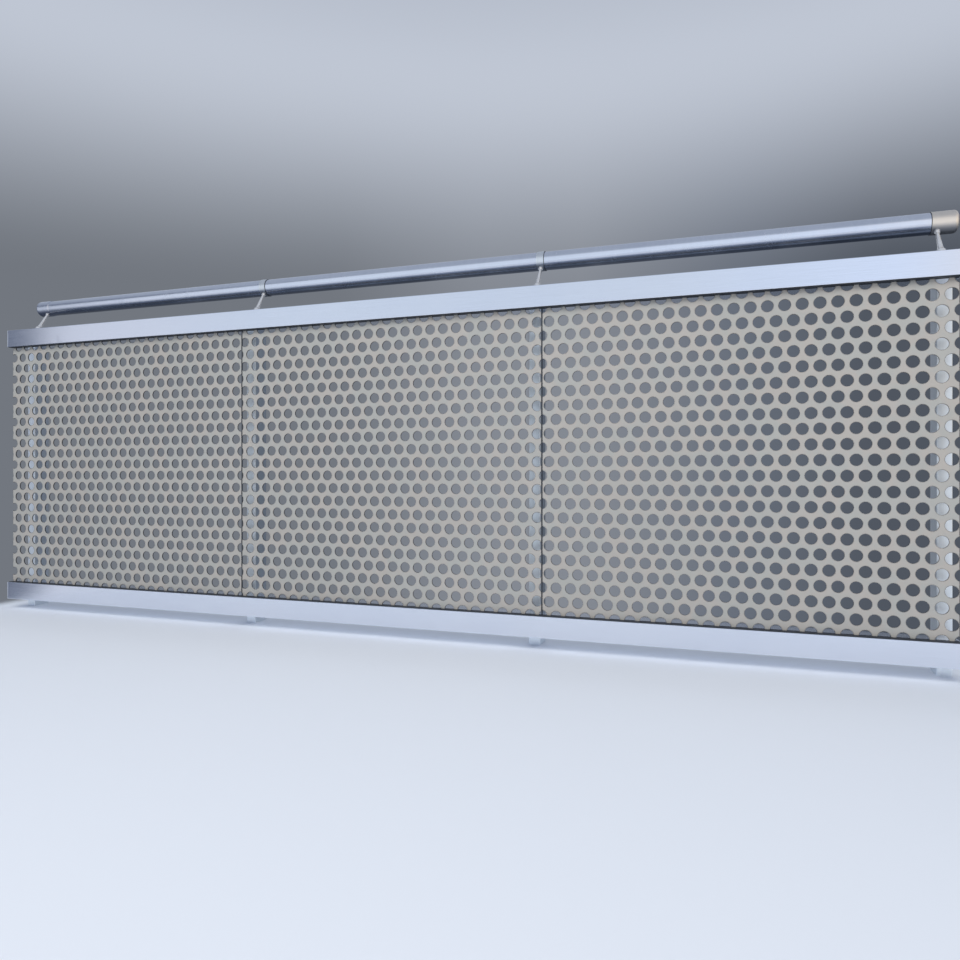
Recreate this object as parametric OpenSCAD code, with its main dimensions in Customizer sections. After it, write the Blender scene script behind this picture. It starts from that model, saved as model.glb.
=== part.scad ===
// Perforated panel railing: three bays of staggered-hole sheet between two hollow rails,
// four flat posts behind the sheet and a round handrail on necks that lean back to it.
// Millimetres, +Z up, +Y towards the side where people stand.
// The origin is the centre of the left end post's foot.

/* [Length] */
// Length of the two rails, which the three sheets fill from end to end
rail_len = 3000; // [2600:10:3400]
// Distance between post axes in the left bay
left_pitch = 973; // [900:1:1050]
// Distance between post axes in the middle bay; the right bay takes the rest
middle_pitch = 967; // [900:1:1050]
// Distance from a rail's end to the axis of its end post
post_inset = 17.5; // [17.5:0.5:60]

/* [Rails] */
// Height of each rail
rail_h = 60; // [50:1:80]
// Depth of each rail, front to back
rail_d = 80; // [72:1:100]
// Wall of the rail profile
rail_wall = 3; // [2:0.5:4]
// Radius on the rails' long edges
rail_edge_r = 1.5; // [1:0.1:2.4]
// Clear height under the bottom rail
foot_gap = 37; // [25:1:80]
// Thickness of the plate that closes a rail's end
rail_cap_t = 3; // [2:0.5:6]
// How far an end plate's tongues reach into the rail
rail_cap_tongue = 14; // [8:1:30]

/* [Sheets] */
// Length of the left sheet
left_sheet_len = 998; // [850:1:1080]
// Length of the middle sheet; the right sheet takes the rest
middle_sheet_len = 992; // [850:1:1080]
// Thickness of the perforated sheet
sheet_t = 3; // [2:0.5:4]
// How far the sheet stands behind the rails' front face
sheet_setback = 20; // [14:1:30]
// Depth of the groove that takes the sheet's edge
groove_depth = 20; // [19:1:26]
// Space left above the sheet in the top rail's groove
sheet_top_clear = 2; // [0.5:0.5:2.5]
// Open joint between neighbouring sheets
sheet_joint = 3; // [1:0.5:6]

/* [Perforation] */
// Diameter of the holes
hole_d = 28.8; // [20:0.2:32]
// Distance between holes along a row
hole_pitch = 40.4; // [36:0.1:50]
// Distance between rows
row_pitch = 38.9; // [34:0.1:46]
// Row spacings between the rails; the first and last rows are half covered by them
row_steps = 22; // [16:2:24]
// Where the full rows start in each sheet, in hole spacings from its left edge
row_start = [0.19, 0.25, 0.46];

/* [Posts] */
// Width of a post along the railing
post_w = 35; // [33:1:50]
// Depth of a post, front to back
post_d = 60; // [52:1:80]
// Wall of the post tube
post_wall = 3; // [2:0.5:4]
// Radius on the posts' long edges
post_edge_r = 2.5; // [1.5:0.5:4]
// How far the post tube stands above the top rail
post_rise = 12; // [6:1:14]
// Height of the plug in a post's foot
foot_plug_h = 30; // [26:1:60]
// Bore of the threaded holes in the foot plug
stud_bore = 10.2; // [8.5:0.1:12]
// Depth of the threaded holes
stud_depth = 22; // [15:1:22]
// Distance from the post's front or back face to a threaded hole
stud_edge = 14; // [13:0.5:17]
// Thickness of the plate on top of a post
post_cap_t = 5; // [3:0.5:6]
// How far the top plate's tongue reaches into the post
post_cap_tongue = 12; // [6:1:30]

/* [Handrail] */
// Outer diameter of the handrail tube
handrail_d = 54; // [42:0.5:60]
// Wall of the handrail tube
handrail_wall = 2; // [1.5:0.5:4]
// Height of the handrail's axis above the top rail
handrail_rise = 112; // [96:1:170]
// Distance from the post axis back to the handrail's axis
handrail_back = 55; // [48:1:80]
// How far the handrail runs past the rails' ends
handrail_over = 30; // [20:1:80]
// Wall of the collars and end sleeves round the handrail
collar_wall = 1.5; // [1:0.5:4]
// Length of a collar
collar_len = 22; // [16:1:50]
// Open joint between handrail lengths, inside a collar
handrail_joint = 1; // [0.5:0.5:4]
// Thickness of an end sleeve's closed end
sleeve_end_t = 11; // [10.5:0.5:16]
// Radius round an end sleeve's closed end
sleeve_end_r = 10; // [3:0.5:10.5]
// How far an end sleeve reaches past its bracket, towards the other end
sleeve_past = 12.5; // [10:0.5:40]

/* [Brackets] */
// Radius of a bracket foot's base
rose_r = 16.5; // [14:0.5:16.5]
// Height of a bracket foot's straight rim
rose_rim = 2; // [1:0.5:4]
// Radius of the dome on a bracket foot
dome_r = 11; // [10:0.5:12.5]
// Width of the ledge round the dome
dome_ledge = 0.5; // [0.2:0.1:1]
// Diameter of a neck just under its pad
neck_top_d = 8.8; // [7:0.2:10]
// Diameter of a neck at the height where its flare starts
neck_mid_d = 11.6; // [10.2:0.2:12.4]
// Diameter of a neck where it stands on the dome
neck_base_d = 16.4; // [15:0.2:18]
// Height of the flare's start over the dome's centre
flare_start = 30; // [24:1:36]
// Diameter of the tenon under the neck, which a socket in the dome takes
tenon_d = 8; // [5:0.5:8.5]
// How far the tenon reaches in from the top of the dome
tenon_len = 12; // [8:0.5:14]
// Diameter of the pad where the neck meets the handrail
pad_d = 13; // [10.5:0.5:16]
// Thickness of the pad
pad_t = 4; // [3:0.5:6]

/* [Fits] */
// Space on each side of a sheet in its groove
groove_fit = 0.15; // [0.05:0.05:0.4]
// Space round tongues and plugs in their tubes
plug_fit = 0.2; // [0.1:0.05:0.5]
// Space between a round piece and what it slides into
round_fit = 0.15; // [0.05:0.05:0.4]
// Space between a neck's pad and the collar that it carries
pad_fit = 0.2; // [0.1:0.05:0.4]

/* [Hidden] */

cut = 1;                // how far a cutting shape runs past what it cuts
root = 2;               // how far the tenon and the pad run into the neck
round_fn = 96;
hole_fn = 48;
flare_fn = 360;         // for the long curve of a neck's flare
flare_sink = 0.15;      // how deep that curve starts inside the taper
dome_flat = 0.05;       // how much the lathe leaves off the top of a dome

// Along the railing
rail_left = -post_inset;
rail_right = rail_left + rail_len;
post_x = [0, left_pitch, left_pitch + middle_pitch, rail_len - 2 * post_inset];
right_sheet_len = rail_len - left_sheet_len - middle_sheet_len - 2 * sheet_joint;
sheet_len = [left_sheet_len, middle_sheet_len, right_sheet_len];
middle_sheet_x = rail_left + left_sheet_len + sheet_joint;
sheet_x = [rail_left, middle_sheet_x, middle_sheet_x + middle_sheet_len + sheet_joint];

// Front to back
rail_back = -post_d / 2;
rail_front = rail_back - rail_d;
sheet_front = rail_front + sheet_setback;
slot_w = sheet_t + 2 * groove_fit;
slot_start = sheet_setback - groove_fit;
slot_end = slot_start + slot_w;

// Heights
bottom_rail_z = foot_gap;
view_z = bottom_rail_z + rail_h;
view_h = row_steps * row_pitch;
top_rail_z = view_z + view_h;
rail_top = top_rail_z + rail_h;
sheet_h = view_h + 2 * groove_depth - sheet_top_clear;
post_h = rail_top + post_rise;
rose_z = post_h + post_cap_t;
handrail_z = rail_top + handrail_rise;

// Handrail
handrail_r = handrail_d / 2;
sleeve_bore_r = handrail_r + round_fit;
sleeve_r = sleeve_bore_r + collar_wall;
sleeve_len = handrail_over + post_inset + sleeve_past;
handrail_x0 = rail_left - handrail_over;
handrail_x1 = rail_right + handrail_over;

// A bracket's neck leans back from the middle of its foot's dome to the handrail's axis
hollow_r = rose_r - dome_r - dome_ledge;
dome_z = rose_z + rose_rim + hollow_r;
neck_rise = handrail_z - dome_z;
neck_lean = atan2(handrail_back, neck_rise);
neck_reach = norm([handrail_back, neck_rise]);
pad_start = neck_reach - sleeve_r - pad_t;
tenon_start = dome_r - tenon_len;
socket_r = tenon_d / 2 + round_fit;

steel = "#c3c9d2";
satin = "#aeb4bd";
sheet_grey = "#b4b0ac";

// A rectangle with rounded corners, its lower left corner at the origin
module rounded(w, h, r) {
    translate([r, 0]) square([w - 2 * r, h]);
    translate([0, r]) square([w, h - 2 * r]);
    for (x = [r, w - r], y = [r, h - r]) translate([x, y]) circle(r, $fn = 32);
}

// Sweeps a profile drawn in Y and Z along +X
module along_x(len) {
    rotate([90, 0, 90]) linear_extrude(len) children();
}

// ---- Posts ----

// A flat tube with its plugs left out; it stands on its foot
module post(i) {
    inner_w = post_w - 2 * post_wall;
    inner_d = post_d - 2 * post_wall;
    color(satin) translate([post_x[i] - post_w / 2, -post_d / 2, 0])
        linear_extrude(post_h) difference() {
            rounded(post_w, post_d, post_edge_r);
            translate([post_wall, post_wall]) square([inner_w, inner_d]);
        }
}

// A plug that fills the tube, centred on the post's axis
module post_plug(i, h) {
    w = post_w - 2 * post_wall - 2 * plug_fit;
    d = post_d - 2 * post_wall - 2 * plug_fit;
    translate([post_x[i] - w / 2, -d / 2, 0]) cube([w, d, h]);
}

// The plug in a post's foot, with two threaded holes for studs set in the slab
module post_foot(i) {
    color(satin) difference() {
        post_plug(i, foot_plug_h);
        for (side = [-1, 1])
            translate([post_x[i], side * (post_d / 2 - stud_edge), -cut])
                cylinder(d = stud_bore, h = stud_depth + cut, $fn = hole_fn);
    }
}

// The plate that closes a post's top and carries the bracket
module post_cap(i) {
    color(satin) {
        translate([post_x[i] - post_w / 2, -post_d / 2, post_h])
            linear_extrude(post_cap_t) rounded(post_w, post_d, post_edge_r);
        translate([0, 0, post_h - post_cap_tongue]) post_plug(i, post_cap_tongue);
    }
}

// ---- Rails ----

// A rail's profile: a hollow box with a groove in its lower side
module rail_profile() {
    difference() {
        union() {
            difference() {
                rounded(rail_d, rail_h, rail_edge_r);
                translate([rail_wall, rail_wall])
                    square([rail_d - 2 * rail_wall, rail_h - 2 * rail_wall]);
            }
            translate([slot_start - rail_wall, rail_wall / 2])
                square([slot_w + 2 * rail_wall, groove_depth + rail_wall / 2]);
        }
        translate([slot_start, -cut]) square([slot_w, groove_depth + cut]);
    }
}

// Stands a rail drawing up as the top rail, or turned over as the bottom one
module at_rail(upper) {
    translate([0, rail_front, upper ? top_rail_z : view_z])
        mirror([0, 0, upper ? 0 : 1]) children();
}

module rail(upper) {
    color(steel) at_rail(upper) translate([rail_left, 0, 0]) along_x(rail_len) rail_profile();
}

// The outline of the two tongues that reach into the hollow on each side of the groove
module tongue_profile() {
    h = rail_h - 2 * rail_wall - 2 * plug_fit;
    front = rail_wall + plug_fit;
    front_w = slot_start - rail_wall - plug_fit - front;
    back = slot_end + rail_wall + plug_fit;
    back_w = rail_d - rail_wall - plug_fit - back;
    translate([front, front]) square([front_w, h]);
    translate([back, front]) square([back_w, h]);
}

// The plate on a rail's end
module rail_end(upper, right) {
    edge = right ? rail_right : rail_left;
    color(steel) at_rail(upper) translate([edge, 0, 0]) mirror([right ? 1 : 0, 0, 0]) {
        translate([-rail_cap_t, 0, 0]) along_x(rail_cap_t) rounded(rail_d, rail_h, rail_edge_r);
        along_x(rail_cap_tongue) tongue_profile();
    }
}

// ---- Perforated sheets ----

// Rows of holes, alternate rows moved by half a space, cut through at the sheet's ends
module perforation(start, len) {
    reach = len + hole_d;
    for (row = [0:row_steps]) {
        first = (start - (row % 2 == 0 ? 0.5 : 0)) * hole_pitch;
        for (x = [first - hole_pitch:hole_pitch:reach])
            if (x > -hole_d / 2 && x < len + hole_d / 2)
                translate([x, groove_depth + row * row_pitch])
                    circle(d = hole_d, $fn = hole_fn);
    }
}

// One bay's sheet; its lower edge rests on the floor of the bottom rail's groove
module panel(i) {
    color(sheet_grey) translate([sheet_x[i], sheet_front + sheet_t, view_z - groove_depth])
        rotate([90, 0, 0]) linear_extrude(sheet_t) difference() {
            square([sheet_len[i], sheet_h]);
            perforation(row_start[i], sheet_len[i]);
        }
}

// ---- Handrail ----

// A cylinder along the handrail's axis between two places
module bar_x(x0, x1, r) {
    translate([x0, handrail_back, handrail_z]) rotate([0, 90, 0])
        cylinder(r = r, h = x1 - x0, $fn = round_fn);
}

// A length of tube from one end or joint to the next
module handrail(x0, x1) {
    color(steel) difference() {
        bar_x(x0, x1, handrail_r);
        bar_x(x0 - cut, x1 + cut, handrail_r - handrail_wall);
    }
}

// The band that joins two lengths over a bracket
module handrail_collar(i) {
    half = collar_len / 2;
    color(satin) difference() {
        bar_x(post_x[i] - half, post_x[i] + half, sleeve_r);
        bar_x(post_x[i] - half - cut, post_x[i] + half + cut, sleeve_bore_r);
    }
}

// The closed sleeve on the handrail's end, turned from one piece with a rounded end
module handrail_end(right) {
    edge = right ? handrail_x1 : handrail_x0;
    color(satin) translate([edge, handrail_back, handrail_z]) mirror([right ? 1 : 0, 0, 0])
        rotate([0, 90, 0]) rotate_extrude($fn = round_fn) difference() {
            union() {
                square([sleeve_r - sleeve_end_r, sleeve_end_t]);
                translate([0, sleeve_end_r])
                    square([sleeve_r, sleeve_len - sleeve_end_r]);
                intersection() {
                    translate([sleeve_r - sleeve_end_r, sleeve_end_r])
                        circle(sleeve_end_r, $fn = round_fn);
                    square([sleeve_r, sleeve_end_t]);
                }
            }
            translate([0, sleeve_end_t]) square([sleeve_bore_r, sleeve_len]);
        }
}

// ---- Brackets ----

// Stands a drawing on the middle of a foot's dome, leaning towards the handrail
module at_neck(i) {
    translate([post_x[i], 0, dome_z]) rotate([-neck_lean, 0, 0]) children();
}

// The rosette on a post's top plate: a rim, a hollow curve and a dome with the neck's socket
module bracket_foot(i) {
    base_h = dome_z - rose_z;
    dome_from = rose_rim / 2;
    color(satin) difference() {
        translate([post_x[i], 0, rose_z]) rotate_extrude($fn = round_fn) {
            difference() {
                square([rose_r, base_h]);
                translate([rose_r, base_h]) circle(hollow_r, $fn = round_fn);
            }
            intersection() {
                translate([0, base_h]) circle(dome_r, $fn = round_fn);
                translate([0, dome_from])
                    square([dome_r + cut, base_h + dome_r - dome_flat - dome_from]);
            }
        }
        at_neck(i) translate([0, 0, tenon_start])
            cylinder(r = socket_r, h = tenon_len + cut, $fn = hole_fn);
    }
}

// The neck's stem: a taper that a flare widens below, hollow underneath to the round of the dome
module neck_stem() {
    seat_r = dome_r + round_fit;
    base_r = neck_base_d / 2;
    mid_r = neck_mid_d / 2;
    top_r = neck_top_d / 2;
    stem_end = pad_start + root;
    foot_r = mid_r + (mid_r - top_r) * flare_start / (stem_end - flare_start);
    flare_h = flare_start - sqrt(seat_r * seat_r - base_r * base_r);
    flare_w = base_r - mid_r + flare_sink;
    // radius of the hollow curve that comes out of the taper and ends at the stem's lower edge
    flare_r = (flare_h * flare_h + flare_w * flare_w) / (2 * flare_w);
    difference() {
        rotate_extrude($fn = round_fn) {
            polygon([[0, 0], [foot_r, 0], [top_r, stem_end], [0, stem_end]]);
            difference() {
                square([base_r + cut, flare_start]);
                translate([mid_r - flare_sink + flare_r, flare_start])
                    circle(flare_r, $fn = flare_fn);
            }
        }
        sphere(seat_r, $fn = round_fn);
    }
}

// A neck with its tenon below and a pad cut to the round of the collar that it carries
module bracket_neck(i) {
    pad_reach = neck_reach - sleeve_r / 2 - pad_start;
    color(steel) difference() {
        at_neck(i) {
            translate([0, 0, tenon_start])
                cylinder(d = tenon_d, h = tenon_len + root, $fn = hole_fn);
            neck_stem();
            translate([0, 0, pad_start]) cylinder(d = pad_d, h = pad_reach, $fn = hole_fn);
        }
        translate([post_x[i] - pad_d, handrail_back, handrail_z]) rotate([0, 90, 0])
            cylinder(r = sleeve_r + pad_fit, h = 2 * pad_d, $fn = round_fn);
    }
}

post(0);  // post_1
post(1);  // post_2
post(2);  // post_3
post(3);  // post_4
post_foot(0);  // post_foot_1
post_foot(1);  // post_foot_2
post_foot(2);  // post_foot_3
post_foot(3);  // post_foot_4
post_cap(0);  // post_cap_1
post_cap(1);  // post_cap_2
post_cap(2);  // post_cap_3
post_cap(3);  // post_cap_4
rail(false);  // bottom_rail
rail(true);  // top_rail
rail_end(false, false);  // bottom_rail_end_left
rail_end(false, true);  // bottom_rail_end_right
rail_end(true, false);  // top_rail_end_left
rail_end(true, true);  // top_rail_end_right
panel(0);  // panel_left
panel(1);  // panel_middle
panel(2);  // panel_right
handrail(handrail_x0 + sleeve_end_t, post_x[1] - handrail_joint / 2);  // handrail_left
handrail(post_x[1] + handrail_joint / 2, post_x[2] - handrail_joint / 2);  // handrail_middle
handrail(post_x[2] + handrail_joint / 2, handrail_x1 - sleeve_end_t);  // handrail_right
handrail_collar(1);  // handrail_collar_2
handrail_collar(2);  // handrail_collar_3
handrail_end(false);  // handrail_end_left
handrail_end(true);  // handrail_end_right
bracket_foot(0);  // bracket_foot_1
bracket_foot(1);  // bracket_foot_2
bracket_foot(2);  // bracket_foot_3
bracket_foot(3);  // bracket_foot_4
bracket_neck(0);  // bracket_neck_1
bracket_neck(1);  // bracket_neck_2
bracket_neck(2);  // bracket_neck_3
bracket_neck(3);  // bracket_neck_4
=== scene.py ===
"""Looks of the perforated panel railing.

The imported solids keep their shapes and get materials. Round them come the seals, the seam strips, the
weld beads and the joint rings, and then a camera, a floor, two lamps and a plain studio for the steel to
mirror.
"""

import math

import bmesh
import bpy
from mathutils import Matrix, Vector


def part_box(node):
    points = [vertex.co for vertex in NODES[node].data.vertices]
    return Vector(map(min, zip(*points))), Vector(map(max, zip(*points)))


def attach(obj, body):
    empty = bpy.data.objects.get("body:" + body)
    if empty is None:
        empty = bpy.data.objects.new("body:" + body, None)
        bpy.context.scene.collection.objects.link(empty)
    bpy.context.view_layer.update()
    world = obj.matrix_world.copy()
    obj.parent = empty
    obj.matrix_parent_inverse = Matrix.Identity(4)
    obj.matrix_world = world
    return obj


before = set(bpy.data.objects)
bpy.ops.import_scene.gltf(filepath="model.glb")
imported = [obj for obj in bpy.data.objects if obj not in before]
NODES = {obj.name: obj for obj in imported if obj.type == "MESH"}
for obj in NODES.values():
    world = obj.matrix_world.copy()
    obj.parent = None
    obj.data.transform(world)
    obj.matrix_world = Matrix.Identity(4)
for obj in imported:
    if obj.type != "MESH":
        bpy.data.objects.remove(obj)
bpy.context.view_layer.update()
MM = 0.001

# ---------------------------------------------------------------- camera

CAMERA_AT = (2.489, -2.093, 0.4907)
CAMERA_LEVEL = 90  # degrees up from straight down, so it looks along the floor
CAMERA_TURN = 19.12  # degrees to the left of straight ahead
CAMERA_LENS = 27.75  # mm
CAMERA_SENSOR = 36  # mm
CAMERA_SHIFT = -0.00635
CAMERA_CLIP = (0.05, 100)


def make_camera():
    data = bpy.data.cameras.new("camera")
    data.lens = CAMERA_LENS
    data.sensor_width = CAMERA_SENSOR
    data.shift_y = CAMERA_SHIFT
    data.clip_start, data.clip_end = CAMERA_CLIP
    cam = bpy.data.objects.new("camera", data)
    cam.location = CAMERA_AT
    cam.rotation_euler = (math.radians(CAMERA_LEVEL), 0, math.radians(CAMERA_TURN))
    bpy.context.scene.collection.objects.link(cam)
    bpy.context.scene.camera = cam


# ---------------------------------------------------------------- node helpers


class Nodes:
    """A short way to write a node tree."""

    def __init__(self, tree):
        self.tree = tree
        tree.nodes.clear()

    def add(self, kind, settings=None, **inputs):
        """A new node. Inputs are named by their sockets, with _ for a space, or numbered, as in i0."""
        node = self.tree.nodes.new(kind)
        for key, value in (settings or {}).items():
            setattr(node, key, value)
        for key, value in inputs.items():
            self.put(node, key, value)
        return node

    def put(self, node, key, value):
        """Links an input to another node's output, or sets it to a value."""
        by_number = key[0] == "i" and key[1:].isdigit()
        socket = node.inputs[int(key[1:]) if by_number else key.replace("_", " ")]
        if isinstance(value, bpy.types.NodeSocket):
            self.tree.links.new(value, socket)
        else:
            socket.default_value = value

    def math(self, op, a, b=0.0, c=0.0):
        return self.add("ShaderNodeMath", {"operation": op}, i0=a, i1=b, i2=c).outputs[0]

    def span(self, value, lo, hi, to_lo=0.0, to_hi=1.0):
        """Goes smoothly from to_lo to to_hi while the value goes from lo to hi. lo may be the higher."""
        node = self.add("ShaderNodeMapRange", {"interpolation_type": "SMOOTHSTEP"}, Value=value,
                        From_Min=lo, From_Max=hi, To_Min=to_lo, To_Max=to_hi)
        return node.outputs[0]

    def span_degrees(self, value, lo, hi):
        """The same for a value in radians, with its limits in degrees."""
        return self.span(value, math.radians(lo), math.radians(hi))

    def mix(self, factor, a, b, blend="MIX"):
        # a Mix node has its two colours in inputs 6 and 7, and the result in output 2
        settings = {"data_type": "RGBA", "blend_type": blend}
        return self.add("ShaderNodeMix", settings, i0=factor, i6=a, i7=b).outputs[2]

    def times(self, colour, by):
        return self.mix(1.0, colour, by, "MULTIPLY")

    def stain(self, colour, where, by):
        """The colour, multiplied by another where a value is 1."""
        return self.mix(where, colour, self.times(colour, by))

    def noise(self, place, scale, detail=3.0, rough=0.5):
        node = self.add("ShaderNodeTexNoise", {"noise_dimensions": "3D"}, Vector=place, Scale=scale,
                        Detail=detail, Roughness=rough)
        return node.outputs["Fac"]

    def place(self):
        """Object coordinates in metres."""
        return self.add("ShaderNodeTexCoord").outputs["Object"]

    def stretched(self, scale):
        """Object coordinates in metres, times a scale for each axis."""
        node = self.add("ShaderNodeMapping", {"vector_type": "POINT"}, Vector=self.place(), Scale=scale)
        return node.outputs[0]

    def facing(self, axis):
        """How far the surface faces along an axis, from -1 to 1."""
        normal = self.add("ShaderNodeTexCoord").outputs["Normal"]
        return self.add("ShaderNodeSeparateXYZ", Vector=normal).outputs[axis]

    def round_axis(self, axis):
        """A tangent that runs round an axis."""
        return self.add("ShaderNodeTangent", {"direction_type": "RADIAL", "axis": axis}).outputs[0]

    def bump(self, height, strength, distance, **normal):
        node = self.add("ShaderNodeBump", Strength=strength, Distance=distance, Height=height, **normal)
        return node.outputs[0]

    def surface(self, **inputs):
        """The shader of a material, and its output."""
        shader = self.add("ShaderNodeBsdfPrincipled", **inputs)
        self.add("ShaderNodeOutputMaterial", Surface=shader.outputs[0])


def rgb(r, g, b):
    """A colour as a screen shows it (sRGB), 0 to 255, in the linear numbers that shaders use."""
    out = []
    for v in (r, g, b):
        v /= 255
        out.append(v / 12.92 if v <= 0.04045 else ((v + 0.055) / 1.055) ** 2.4)
    return (*out, 1.0)


def tint(colour, k):
    """A colour made lighter or darker, up to white."""
    return (*(min(1.0, c * k) for c in colour[:3]), 1.0)


def new_material(name):
    material = bpy.data.materials.new(name)
    material.use_nodes = True
    return material, Nodes(material.node_tree)


# ---------------------------------------------------------------- materials

STEEL = rgb(238, 242, 252)
BRUSHED = {"x": (1.5, 260, 260), "z": (260, 260, 1.5)}  # scales that draw the streaks out along x or z
STREAK_SCALE = 4.0
STREAK_FINER = 3.1  # the second streaks are this much finer
STREAK_SHARE = 0.65  # of the first streaks, next to the second
STREAK_SUM = 0.6  # brings both together back to between 0 and 1
STREAK_TINTS = (0.94, 1.04)
STEEL_CLOUD = (0.965, 0.972, 0.985, 1.0)
MARK_ROUGH = 0.05  # how much rougher the handling marks are


def brushed_steel(name, along, base=STEEL, rough=0.15, aniso=0.96, coarse=1.0):
    """Satin steel brushed along one axis: fine streaks, faint clouds and faint handling marks."""
    m, n = new_material(name)
    scales = BRUSHED[along]
    finer = tuple(v * STREAK_FINER for v in scales)
    streak = n.noise(n.stretched(scales), STREAK_SCALE / coarse, detail=4.0, rough=0.6)
    fine = n.noise(n.stretched(finer), STREAK_SCALE / coarse, detail=2.0)
    both = n.math("MULTIPLY", n.math("MULTIPLY_ADD", streak, STREAK_SHARE, fine), STREAK_SUM)
    place = n.place()
    cloud = n.noise(place, scale=2.3, detail=4.0, rough=0.55)
    worn = n.span(n.noise(place, scale=19.0, detail=5.0, rough=0.62), lo=0.60, hi=0.74)
    dark, light = (tint(base, k) for k in STREAK_TINTS)
    colour = n.mix(n.span(both, lo=0.30, hi=0.70), dark, light)
    colour = n.stain(colour, n.span(cloud, lo=0.35, hi=0.68), STEEL_CLOUD)
    sheen = n.span(both, lo=0.25, hi=0.75, to_lo=rough - 0.04, to_hi=rough + 0.05)
    # a highlight is drawn out across the brushing, round the piece's long axis
    n.surface(Base_Color=colour, Metallic=1.0, Anisotropic=aniso, Tangent=n.round_axis(along.upper()),
              Roughness=n.math("ADD", sheen, n.math("MULTIPLY", worn, MARK_ROUGH)),
              Normal=n.bump(both, strength=0.10, distance=0.06 * MM))
    return m


GROUND = (22, 1.5, 1.5)  # scales that draw the grinding marks out round the tube
GROUND_TINTS = (0.98, 1.005)
TUBE_CLOUD = (0.96, 0.965, 0.975, 1.0)
UNDER_TUBE = (0.22, 0.245, 0.29, 1.0)
UNDERSIDE = (-0.15, -0.8)  # how far the surface faces up where the painted shade on the underside begins and is full
QUARTER_TURN = 0.25


def ground_tube(name, base=STEEL, rough=0.23, aniso=0.3):
    """Tube ground round its length: fine rings, a sheen drawn out along it and painted shade on its
    underside.
    """
    m, n = new_material(name)
    ring = n.noise(n.stretched(GROUND), scale=4.0, detail=2.0)
    place = n.place()
    cloud = n.noise(place, scale=6.0, detail=4.0, rough=0.6)
    rub = n.noise(place, scale=26.0, detail=4.0, rough=0.6)
    dark, light = (tint(base, k) for k in GROUND_TINTS)
    colour = n.mix(n.span(ring, lo=0.32, hi=0.68), dark, light)
    colour = n.stain(colour, n.span(cloud, lo=0.4, hi=0.7), TUBE_CLOUD)
    # painted shade: the colour is darkened where the surface faces down, mottled by the clouds
    grime = n.math("MULTIPLY", n.span(n.facing("Z"), *UNDERSIDE),
                   n.span(cloud, lo=0.2, hi=0.5, to_lo=0.8, to_hi=1.0))
    colour = n.stain(colour, grime, UNDER_TUBE)
    roughness = n.math("ADD", n.span(ring, lo=0.3, hi=0.7, to_lo=rough - 0.02, to_hi=rough + 0.03),
                       n.span(rub, lo=0.5, hi=0.75, to_lo=0.0, to_hi=0.04))
    n.surface(Base_Color=colour, Metallic=1.0, Roughness=roughness, Anisotropic=aniso,
              Anisotropic_Rotation=QUARTER_TURN, Tangent=n.round_axis("X"))
    return m


CAST = rgb(249, 249, 249)
CAST_TINT = 0.93


def cast_steel(name):
    """Cast and polished steel: an even soft sheen with faint clouds."""
    m, n = new_material(name)
    place = n.place()
    cloud = n.noise(place, scale=45.0)
    skin = n.noise(place, scale=420.0, detail=2.0)
    colour = n.mix(n.span(cloud, lo=0.35, hi=0.7), CAST, tint(CAST, CAST_TINT))
    n.surface(Base_Color=colour, Metallic=0.8,
              Roughness=n.span(cloud, lo=0.3, hi=0.7, to_lo=0.22, to_hi=0.28),
              Normal=n.bump(skin, strength=0.08, distance=0.05 * MM))
    return m


SHEET_WARM = rgb(190, 185, 178)
SHEET_COOL = rgb(184, 184, 179)
SHEET_BROAD = (0.97, 0.965, 0.96, 1.0)
SHEET_GRAIN = (0.90, 0.90, 0.91, 1.0)
SHEET_CUT = rgb(34, 36, 41)
FACE_TURN = (0.45, 0.8)  # how far the surface faces front or back between a cut edge and a face
RIM_ROLL = 3.0 * MM
RIM_TURN = (0.995, 0.9)  # the cosine of how far a rim is rolled, where its shade begins and is full
RIM_TONE = (0.2, 0.2, 0.22, 1.0)


def sheet_metal(name):
    """Matt metallic coat: fine grain, faint warm and cool patches, and painted shade on the cut edges
    and the rims of the holes.
    """
    m, n = new_material(name)
    place = n.place()
    grain = n.noise(place, scale=900.0, detail=2.0, rough=0.7)
    patch = n.noise(place, scale=17.0, rough=0.6)
    broad = n.noise(place, scale=1.4)
    face = n.mix(n.span(patch, lo=0.38, hi=0.64), SHEET_COOL, SHEET_WARM)
    face = n.stain(face, n.span(broad, lo=0.35, hi=0.7), SHEET_BROAD)
    face = n.mix(n.span(grain, lo=0.3, hi=0.7), n.times(face, SHEET_GRAIN), face)
    # the cut edges, round the walls of the holes, are coloured near black: bare cut metal, darkened
    # further as painted shade inside the holes
    colour = n.mix(n.span(n.math("ABSOLUTE", n.facing("Y")), *FACE_TURN), SHEET_CUT, face)
    # punching rolls the rims of the holes over, and the colour there is darkened as painted shade
    rolled = n.add("ShaderNodeBevel", {"samples": 4}, Radius=RIM_ROLL).outputs[0]
    true = n.add("ShaderNodeNewGeometry").outputs["True Normal"]
    turned = n.add("ShaderNodeVectorMath", {"operation": "DOT_PRODUCT"}, i0=rolled, i1=true)
    rim = n.span(turned.outputs["Value"], *RIM_TURN)
    n.surface(Base_Color=n.stain(colour, rim, RIM_TONE), Metallic=0.35,
              Roughness=n.span(grain, lo=0.3, hi=0.7, to_lo=0.46, to_hi=0.60),
              Normal=n.bump(grain, strength=0.25, distance=0.08 * MM, Normal=rolled))
    return m


RUBBER_CLEAN = (0.012, 0.016, 0.025, 1.0)
RUBBER_DUSTY = (0.035, 0.042, 0.055, 1.0)


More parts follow.
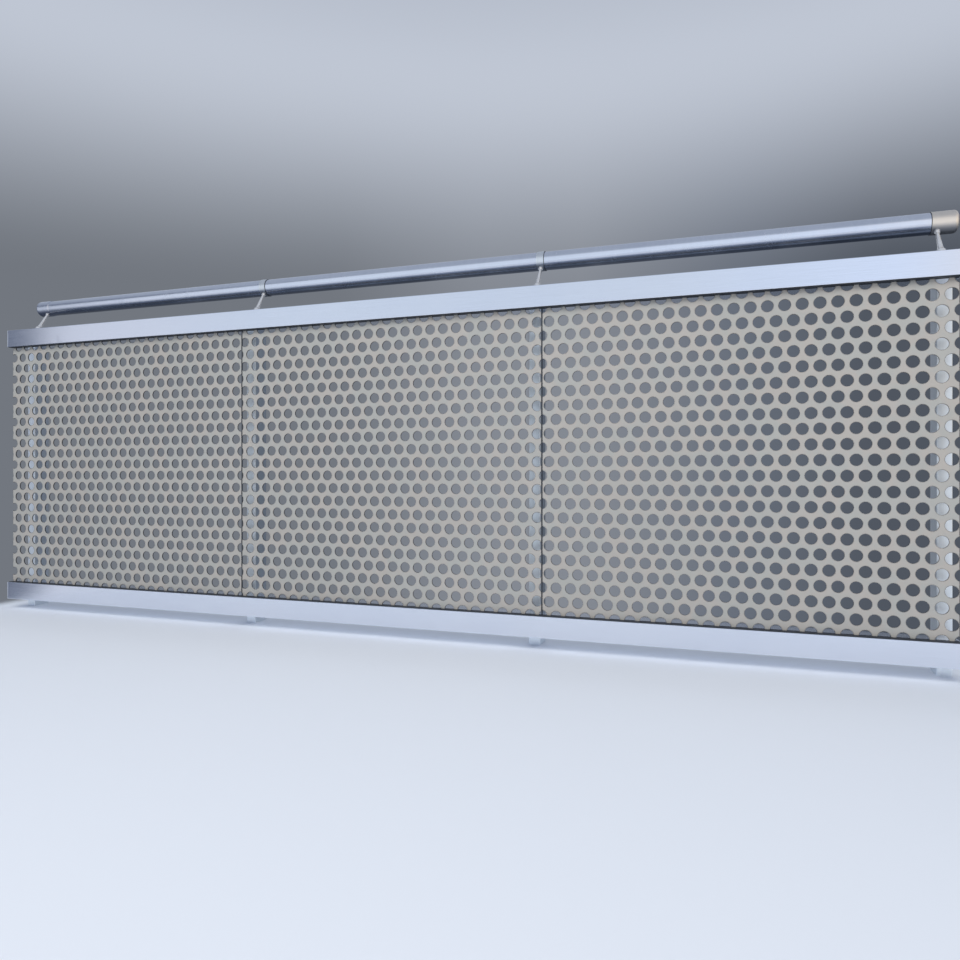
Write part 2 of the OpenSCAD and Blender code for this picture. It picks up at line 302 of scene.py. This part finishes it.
def rubber(name):
    """Dark weathered seal."""
    m, n = new_material(name)
    place = n.place()
    dust = n.noise(place, scale=60.0, detail=5.0, rough=0.65)
    skin = n.noise(place, scale=700.0, detail=2.0)
    n.surface(Base_Color=n.mix(n.span(dust, lo=0.45, hi=0.75), RUBBER_CLEAN, RUBBER_DUSTY),
              Roughness=n.span(dust, lo=0.4, hi=0.7, to_lo=0.5, to_hi=0.68),
              Normal=n.bump(skin, strength=0.3, distance=0.1 * MM))
    return m


WELD_COOL = rgb(188, 189, 196)
WELD_STRAW = rgb(176, 170, 160)


def weld_metal(name):
    """Weld bead, dressed and pickled: matt, with a faint straw tint where it was hot."""
    m, n = new_material(name)
    place = n.place()
    heat = n.noise(place, scale=70.0, rough=0.6)
    grit = n.noise(place, scale=1100.0, rough=0.6)
    n.surface(Base_Color=n.mix(n.span(heat, lo=0.4, hi=0.7), WELD_COOL, WELD_STRAW), Metallic=1.0,
              Roughness=n.span(grit, lo=0.3, hi=0.7, to_lo=0.34, to_hi=0.5),
              Normal=n.bump(grit, strength=0.4, distance=0.12 * MM))
    return m


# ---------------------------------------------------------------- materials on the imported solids

ENDS = ("left", "right")
THREE = ("left", "middle", "right")
POSTS = (1, 2, 3, 4)
RAILS = ("bottom_rail", "top_rail")
COLLARS = ("handrail_collar_2", "handrail_collar_3")
POST_STEEL = rgb(242, 248, 255)
COLLAR_STEEL = rgb(250, 253, 255)
SLEEVE_STEEL = rgb(255, 245, 232)  # painted warm light: the right sleeve's cream base colour stands in for the warm light at that end


def dress(names, material):
    """Gives CAD nodes a material."""
    for name in names:
        slots = NODES[name].material_slots
        if not slots:
            NODES[name].data.materials.append(material)
        for s in slots:
            s.material = material


def named(stem, endings):
    return [f"{stem}_{e}" for e in endings]


def dress_nodes():
    dress(named("post", POSTS),
          brushed_steel("post_brushed", "z", base=POST_STEEL, rough=0.36, aniso=0.2))
    dress(named("post_foot", POSTS) + named("post_cap", POSTS),
          brushed_steel("plate_brushed", "x", rough=0.28, coarse=1.6))
    dress(RAILS, brushed_steel("rail_brushed", "x"))
    dress([f"{r}_end_{e}" for r in RAILS for e in ENDS],
          brushed_steel("rail_end_brushed", "z", rough=0.26))
    dress(named("panel", THREE), sheet_metal("panel_sheet"))
    dress(named("handrail", THREE) + ["handrail_end_left"], ground_tube("handrail_ground"))
    dress(COLLARS, ground_tube("collar_ground", base=COLLAR_STEEL, rough=0.38, aniso=0.0))
    dress(["handrail_end_right"], ground_tube("sleeve_ground_painted_warm", base=SLEEVE_STEEL, rough=0.42, aniso=0.0))
    dress(named("bracket_foot", POSTS) + named("bracket_neck", POSTS), cast_steel("bracket_cast"))


# ---------------------------------------------------------------- helpers for pieces


def mesh_piece(name, verts, faces, material, slot, smooth=True):
    mesh = bpy.data.meshes.new(name)
    mesh.from_pydata([tuple(v) for v in verts], [], faces)
    bm = bmesh.new()
    bm.from_mesh(mesh)
    bmesh.ops.recalc_face_normals(bm, faces=bm.faces)
    bm.to_mesh(mesh)
    bm.free()
    for p in mesh.polygons:
        p.use_smooth = smooth
    mesh.materials.append(material)
    o = bpy.data.objects.new(name, mesh)
    bpy.context.scene.collection.objects.link(o)
    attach(o, "root")


def sweep(rings, closed=False):
    """Joins rings of points, one after the other, into a tube. An open tube gets flat ends."""
    count, k = len(rings), len(rings[0])
    verts = [p for ring in rings for p in ring]
    faces = []
    for i in range(count if closed else count - 1):
        j = (i + 1) % count
        for a in range(k):
            b = (a + 1) % k
            faces.append((i * k + a, i * k + b, j * k + b, j * k + a))
    if not closed:
        faces.append(tuple(range(k))[::-1])
        faces.append(tuple((count - 1) * k + a for a in range(k)))
    return verts, faces


def quarter_turn(steps):
    """Angles from 0 to a right angle."""
    return [math.radians(90 * i / steps) for i in range(steps + 1)]


def full_turn(steps):
    """Angles once round, without the last one, which is the first again."""
    return [math.tau * i / steps for i in range(steps)]


# ---------------------------------------------------------------- seals and seam strips

SEAL_EDGE = 2.5 * MM  # steel that shows in front of the seal
SEAL_H = 1.4 * MM
SEAL_ROUND = 0.5 * MM
SEAL_BACK = 4.0 * MM  # how far a seal at the back comes out behind the sheets
SEAL_STEPS = 6


def seal(name, rail, side, front, material):
    """A strip in the corner between a rail and the sheets. side is 1 over the rail and -1 under it."""
    rail_lo, rail_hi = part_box(rail)
    sheet_lo, sheet_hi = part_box("panel_left")[0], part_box("panel_right")[1]
    z = rail_hi.z if side > 0 else rail_lo.z
    if front:
        y_out, y_in = rail_lo.y + SEAL_EDGE, sheet_lo.y
    else:
        y_out, y_in = sheet_hi.y + SEAL_BACK, sheet_hi.y
    inwards = 1 if y_in > y_out else -1
    outline = [(y_in, 0), (y_in, SEAL_H)]
    for a in quarter_turn(SEAL_STEPS):
        outline.append((y_out + inwards * SEAL_ROUND * (1 - math.sin(a)),
                        SEAL_H - SEAL_ROUND * (1 - math.cos(a))))
    outline += [(y_out, 0)]
    rings = [[(x, y, z + side * h) for y, h in outline] for x in (sheet_lo.x, sheet_hi.x)]
    mesh_piece(name, *sweep(rings), material, "sheet_metal", smooth=False)


SEAM_BACK = 0.5 * MM  # how far the strip stays behind the sheets' faces


def seam_strip(name, left, right, material):
    """The dark strip that closes the joint between two sheets, from rail to rail."""
    left_lo, left_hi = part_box(left)
    x0, x1 = left_hi.x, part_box(right)[0].x
    y0, y1 = left_lo.y + SEAM_BACK, left_hi.y - SEAM_BACK
    z0, z1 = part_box("bottom_rail")[1].z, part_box("top_rail")[0].z
    rings = [[(x0, y0, z), (x1, y0, z), (x1, y1, z), (x0, y1, z)] for z in (z0, z1)]
    mesh_piece(name, *sweep(rings), material, "sheet_metal", smooth=False)


# ---------------------------------------------------------------- welds

BEAD = 3.2 * MM
BEAD_STEPS = 5
BEAD_RINGS = 8  # at least so many steps along a bead
BEAD_START = 0.45  # the share of its size that a bead has at its two ends
BEAD_GROWTH = 3  # the share that it gains from there over a length of BEAD
BEAD_FLAT = 0.78  # the share that it has halfway between the walls
RIPPLE = 3.4 * MM
RIPPLE_STEPS = 6
RIPPLE_DEPTH = 0.10
RIPPLE_POWER = 0.6  # under 1, so that the crests are sharp and the hollows between them broad
POST_WELD_STOP = 2 * MM  # how far a post's welds stay from the rail's edges


def ripple(s):
    """The share of its full size that a weld bead has at a place along it, from crest to hollow."""
    return 1 - RIPPLE_DEPTH * abs(math.sin(math.pi * s / RIPPLE)) ** RIPPLE_POWER


def corner_bead(name, start, end, wall_a, wall_b, material, slot):
    """A fillet weld in the corner of two walls.

    wall_a and wall_b point along the walls, away from the corner.
    """
    start, end, a, b = (Vector(v) for v in (start, end, wall_a, wall_b))
    length = (end - start).length
    count = max(BEAD_RINGS, int(length / RIPPLE * RIPPLE_STEPS))
    rings = []
    for i in range(count + 1):
        s = length * i / count
        size = BEAD * ripple(s) * min(1.0, BEAD_START + BEAD_GROWTH * min(s, length - s) / BEAD)
        corner = start.lerp(end, i / count)
        ring = [corner]
        for t in quarter_turn(BEAD_STEPS):
            reach = size * (BEAD_FLAT + (1 - BEAD_FLAT) * abs(math.cos(2 * t)))
            ring.append(corner + a * reach * math.cos(t) + b * reach * math.sin(t))
        rings.append(ring)
    mesh_piece(name, *sweep(rings), material, slot)


def post_welds(material):
    """Beads down both sides of each post, on the backs of the two rails."""
    for i in POSTS:
        lo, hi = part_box(f"post_{i}")
        for rail in RAILS:
            rail_lo, rail_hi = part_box(rail)
            z0, z1 = rail_lo.z + POST_WELD_STOP, rail_hi.z - POST_WELD_STOP
            for word, side, x in (("left", -1, lo.x), ("right", 1, hi.x)):
                corner_bead(f"weld_{rail}_{i}_{word}", (x, rail_hi.y, z0), (x, rail_hi.y, z1),
                            (side, 0, 0), (0, 1, 0), material, "post_steel")


ROUND_SIDES = 8


def ring_bead(name, points, radius, material, slot):
    """A round bead along a closed line of points."""
    middle = sum(points, Vector()) / len(points)
    rings, run = [], 0.0
    for i, p in enumerate(points):
        before, after = points[i - 1], points[(i + 1) % len(points)]
        along = (after - before).normalized()
        out = p - middle
        out = (out - along * out.dot(along)).normalized()
        up = along.cross(out)
        run += (p - before).length if i else 0.0
        size = radius * ripple(run)
        rings.append([p + (out * math.cos(t) + up * math.sin(t)) * size for t in full_turn(ROUND_SIDES)])
    mesh_piece(name, *sweep(rings, closed=True), material, slot)


SLEEVES = {1: "handrail_end_left", 2: COLLARS[0], 3: COLLARS[1], 4: "handrail_end_right"}
# these three are the same as in part.scad
DOME_R = 11 * MM
NECK_BASE_R = 8.2 * MM
PAD_R = 6.5 * MM
# how thick the beads are round a pad, a neck's seat and a rosette
PAD_BEAD = 0.9 * MM
SEAT_BEAD = 0.6 * MM
ROSE_BEAD = 0.9 * MM
RING_POINTS = 72
ALONG = Vector((1, 0, 0))
BACK = Vector((0, 1, 0))


def circle(u, v, radius):
    """The steps from a circle's middle to its points, in the plane of two unit vectors."""
    return [u * (radius * math.cos(t)) + v * (radius * math.sin(t)) for t in full_turn(RING_POINTS)]


def to_sleeve(off, axis, sleeve_r):
    """How far it is along the neck's axis to the sleeve, from a step off the handrail's axis."""
    flat = Vector((0, off.y, off.z))
    b, c = flat.dot(axis), flat.length_squared - sleeve_r**2
    return -b - math.sqrt(b * b - c)


def bracket_welds(material):
    """Beads round the necks' pads on the sleeves, round the necks on the domes and round the feet."""
    tube_lo, tube_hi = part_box("handrail_middle")
    for i in POSTS:
        sleeve_lo, sleeve_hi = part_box(SLEEVES[i])
        sleeve_r = (sleeve_hi.z - sleeve_lo.z) / 2
        foot_lo, foot_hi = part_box(f"bracket_foot_{i}")
        foot = (foot_lo + foot_hi) / 2
        dome = Vector((foot.x, foot.y, foot_hi.z - DOME_R))
        hand = Vector((foot.x, (tube_lo.y + tube_hi.y) / 2, (tube_lo.z + tube_hi.z) / 2))
        axis = (hand - dome).normalized()
        across = axis.cross(ALONG)
        pad = [hand + off + axis * to_sleeve(off, axis, sleeve_r)
               for off in circle(ALONG, across, PAD_R)]
        ring_bead(f"weld_pad_{i}", pad, PAD_BEAD, material, "bracket_steel")
        base = dome + axis * math.sqrt(DOME_R**2 - NECK_BASE_R**2)
        seat = [base + off for off in circle(ALONG, across, NECK_BASE_R)]
        ring_bead(f"weld_seat_{i}", seat, SEAT_BEAD, material, "bracket_steel")
        base = Vector((foot.x, foot.y, foot_lo.z))
        rose = [base + off for off in circle(ALONG, BACK, (foot_hi.x - foot_lo.x) / 2)]
        ring_bead(f"weld_rose_{i}", rose, ROSE_BEAD, material, "bracket_steel")


# ---------------------------------------------------------------- rings at the handrail's joints

JOINT_LEN = 1.3 * MM
JOINT_DROP = 0.35 * MM  # how far a joint ring stays under the sleeve's surface, and goes into the tube
JOINT_ROUND = 0.4 * MM
JOINT_STEPS = 4
JOINT_SIDES = 96


def joint_ring(name, sleeve, right, material):
    """The dark ring that fills the step between a sleeve's edge and the tube."""
    lo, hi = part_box(sleeve)
    tube_lo, tube_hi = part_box("handrail_middle")
    y, z = (lo.y + hi.y) / 2, (lo.z + hi.z) / 2
    outer = (hi.z - lo.z) / 2 - JOINT_DROP
    inner = (tube_hi.z - tube_lo.z) / 2 - JOINT_DROP
    away = 1 if right else -1
    edge = hi.x if right else lo.x
    profile = [(0, inner), (0, outer)]
    profile += [(JOINT_LEN - JOINT_ROUND * (1 - math.sin(a)), outer - JOINT_ROUND * (1 - math.cos(a)))
                for a in quarter_turn(JOINT_STEPS)]
    profile += [(JOINT_LEN, inner)]
    rings = [[(edge + away * s, y + r * math.cos(t), z + r * math.sin(t)) for s, r in profile]
             for t in full_turn(JOINT_SIDES)]
    mesh_piece(name, *sweep(rings, closed=True), material, "handrail_steel", smooth=False)


def make_pieces():
    weld, dark = weld_metal("weld_bead"), rubber("seal_rubber")
    seal("seal_top_front", "top_rail", -1, True, dark)
    seal("seal_bottom_front", "bottom_rail", 1, True, dark)
    seal("seal_top_back", "top_rail", -1, False, dark)
    seal("seal_bottom_back", "bottom_rail", 1, False, dark)
    seam_strip("seam_strip_2", "panel_left", "panel_middle", dark)
    seam_strip("seam_strip_3", "panel_middle", "panel_right", dark)
    post_welds(weld)
    bracket_welds(weld)
    joint_ring("joint_ring_2", "handrail_collar_2", True, dark)
    joint_ring("joint_ring_3", "handrail_collar_3", True, dark)
    joint_ring("joint_ring_4", "handrail_end_right", False, dark)


# ---------------------------------------------------------------- studio

BACKDROP = rgb(104, 111, 123)
BACK_LEFT = rgb(114, 119, 127)
BACK_MIDDLE = rgb(132, 137, 146)
BACK_RIGHT = rgb(80, 86, 96)
BACKDROP_HIGH = rgb(196, 203, 216)
SKY_LEFT = (0.72, 0.74, 0.82, 1.0)
SKY_FRONT = (0.66, 0.73, 0.83, 1.0)
SKY_RIGHT = (0.73, 0.82, 0.98, 1.0)
DARK_WALL = rgb(108, 116, 132)
OVERHEAD = (0.34, 0.38, 0.46, 1.0)
SUNLIT = (0.88, 0.83, 0.775, 1.0)
# the colours round the railing, at degrees from straight in front of it: over 0 is left, under 0 right
ROUND_COLOURS = [
    (-180, BACKDROP), (-171, BACK_RIGHT), (-158, BACK_RIGHT), (-130, BACKDROP), (-105, BACKDROP),
    (-75, SUNLIT), (-19, SUNLIT), (-11, SKY_RIGHT), (6, SKY_FRONT), (36, SKY_FRONT), (49.9, SKY_LEFT),
    (50.5, DARK_WALL), (95, DARK_WALL), (122, BACK_LEFT), (150, BACK_LEFT), (161, BACK_MIDDLE),
    (169, BACK_MIDDLE), (180, BACKDROP)]
# in degrees, and each pair is where a change begins and ends
LEAN_RISE = 17  # over this the dark wall leans in, one degree for each degree up
WALL_EDGE = (49.9, 50.9)
WALL_END = (80, 60)  # left of this the colours above have the dark wall themselves
HIGH_RISE = (13, 30)
OVERHEAD_RISE = (24, 46)
BEHIND = (0.1, 0.5)  # how far a direction points back, from 0 to 1


def make_world():
    """A soft studio.

    In front it is bright and cool, with a warm part at the right and a dark wall at the left. Behind the
    railing it is plain blue grey, paler higher up. Overhead it is dimmer all round.
    """
    world = bpy.data.worlds.new("studio")
    bpy.context.scene.world = world
    world.use_nodes = True
    n = Nodes(world.node_tree)
    direction = n.add("ShaderNodeTexCoord").outputs["Generated"]
    x, y, z = n.add("ShaderNodeSeparateXYZ", Vector=direction).outputs
    turn = n.math("ARCTAN2", n.math("MULTIPLY", x, -1.0), n.math("MULTIPLY", y, -1.0))
    rise = n.math("ARCSINE", z)
    ramp = n.add("ShaderNodeValToRGB", Fac=n.math("MULTIPLY_ADD", turn, 1 / math.tau, 0.5))
    band = ramp.color_ramp
    band.interpolation = "LINEAR"
    while len(band.elements) > 1:
        band.elements.remove(band.elements[0])
    band.elements[0].position, band.elements[0].color = 0.0, ROUND_COLOURS[0][1]
    for degrees, colour in ROUND_COLOURS[1:]:
        band.elements.new(0.5 + degrees / 360).color = colour
    # the dark wall leans in over the front, but only above the height that the rails mirror
    above = n.math("MAXIMUM", n.math("SUBTRACT", rise, math.radians(LEAN_RISE)), 0.0)
    wall = n.math("MULTIPLY", n.span_degrees(n.math("ADD", above, turn), *WALL_EDGE),
                  n.span_degrees(turn, *WALL_END))
    colour = n.mix(wall, ramp.outputs[0], DARK_WALL)
    high = n.math("MULTIPLY", n.span(y, *BEHIND), n.span_degrees(rise, *HIGH_RISE))
    colour = n.mix(high, colour, BACKDROP_HIGH)
    colour = n.mix(n.span_degrees(rise, *OVERHEAD_RISE), colour, OVERHEAD)
    light = n.add("ShaderNodeBackground", Color=colour, Strength=1.0)
    n.add("ShaderNodeOutputWorld", Surface=light.outputs[0])


FLOOR = rgb(229, 235, 244)
FLOOR_ROUGH = 0.9
# where the floor begins to fade on each side, and where it ends
FLOOR_BACK = (0.04, 0.42)
FLOOR_FRONT = (-1.6, -2.6)
FLOOR_LEFT = (-0.07, -0.2)
FLOOR_RIGHT = (3.9, 5.2)


def make_floor():
    """A pale floor that fades into the plain surroundings at its edges."""
    mesh = bpy.data.meshes.new("floor")
    x0, x1, y0, y1 = (side[1] for side in (FLOOR_LEFT, FLOOR_RIGHT, FLOOR_FRONT, FLOOR_BACK))
    mesh.from_pydata([(x0, y0, 0), (x1, y0, 0), (x1, y1, 0), (x0, y1, 0)], [], [(0, 1, 2, 3)])
    m, n = new_material("floor_paper")
    x, y, _ = n.add("ShaderNodeSeparateXYZ", Vector=n.place()).outputs
    keep = 1.0
    for value, side in ((y, FLOOR_BACK), (y, FLOOR_FRONT), (x, FLOOR_LEFT), (x, FLOOR_RIGHT)):
        keep = n.math("MULTIPLY", keep, n.span(value, *side, to_lo=1.0, to_hi=0.0))
    paper = n.add("ShaderNodeBsdfPrincipled", Base_Color=FLOOR, Roughness=FLOOR_ROUGH)
    clear = n.add("ShaderNodeBsdfTransparent")
    both = n.add("ShaderNodeMixShader", i0=keep, i1=clear.outputs[0], i2=paper.outputs[0])
    n.add("ShaderNodeOutputMaterial", Surface=both.outputs[0])
    mesh.materials.append(m)
    floor = bpy.data.objects.new("floor", mesh)
    bpy.context.scene.collection.objects.link(floor)


def soft_lamp(name, at, look, size, watts, colour):
    """A large lamp that gives soft light and isn't mirrored in the steel."""
    data = bpy.data.lights.new(name, "AREA")
    data.shape = "RECTANGLE"
    data.size, data.size_y = size
    data.energy = watts
    data.color = colour
    lamp = bpy.data.objects.new(name, data)
    lamp.visible_glossy = False
    lamp.location = at
    lamp.rotation_euler = (Vector(look) - Vector(at)).to_track_quat("-Z", "Y").to_euler()
    bpy.context.scene.collection.objects.link(lamp)


def make_lamps():
    soft_lamp("front_soft", at=(1.9, -4.6, 4.4), look=(1.8, 0, 0.3), size=(5.0, 3.0), watts=250,
              colour=(1.0, 0.97, 0.925))
    soft_lamp("back_soft", at=(1.6, 3.2, 1.2), look=(1.5, 0, 0.7), size=(3.4, 1.0), watts=55,
              colour=(0.93, 0.96, 1.0))


make_camera()
make_world()
make_floor()
make_lamps()
dress_nodes()
make_pieces()

bpy.context.scene.view_settings.view_transform = "Standard"
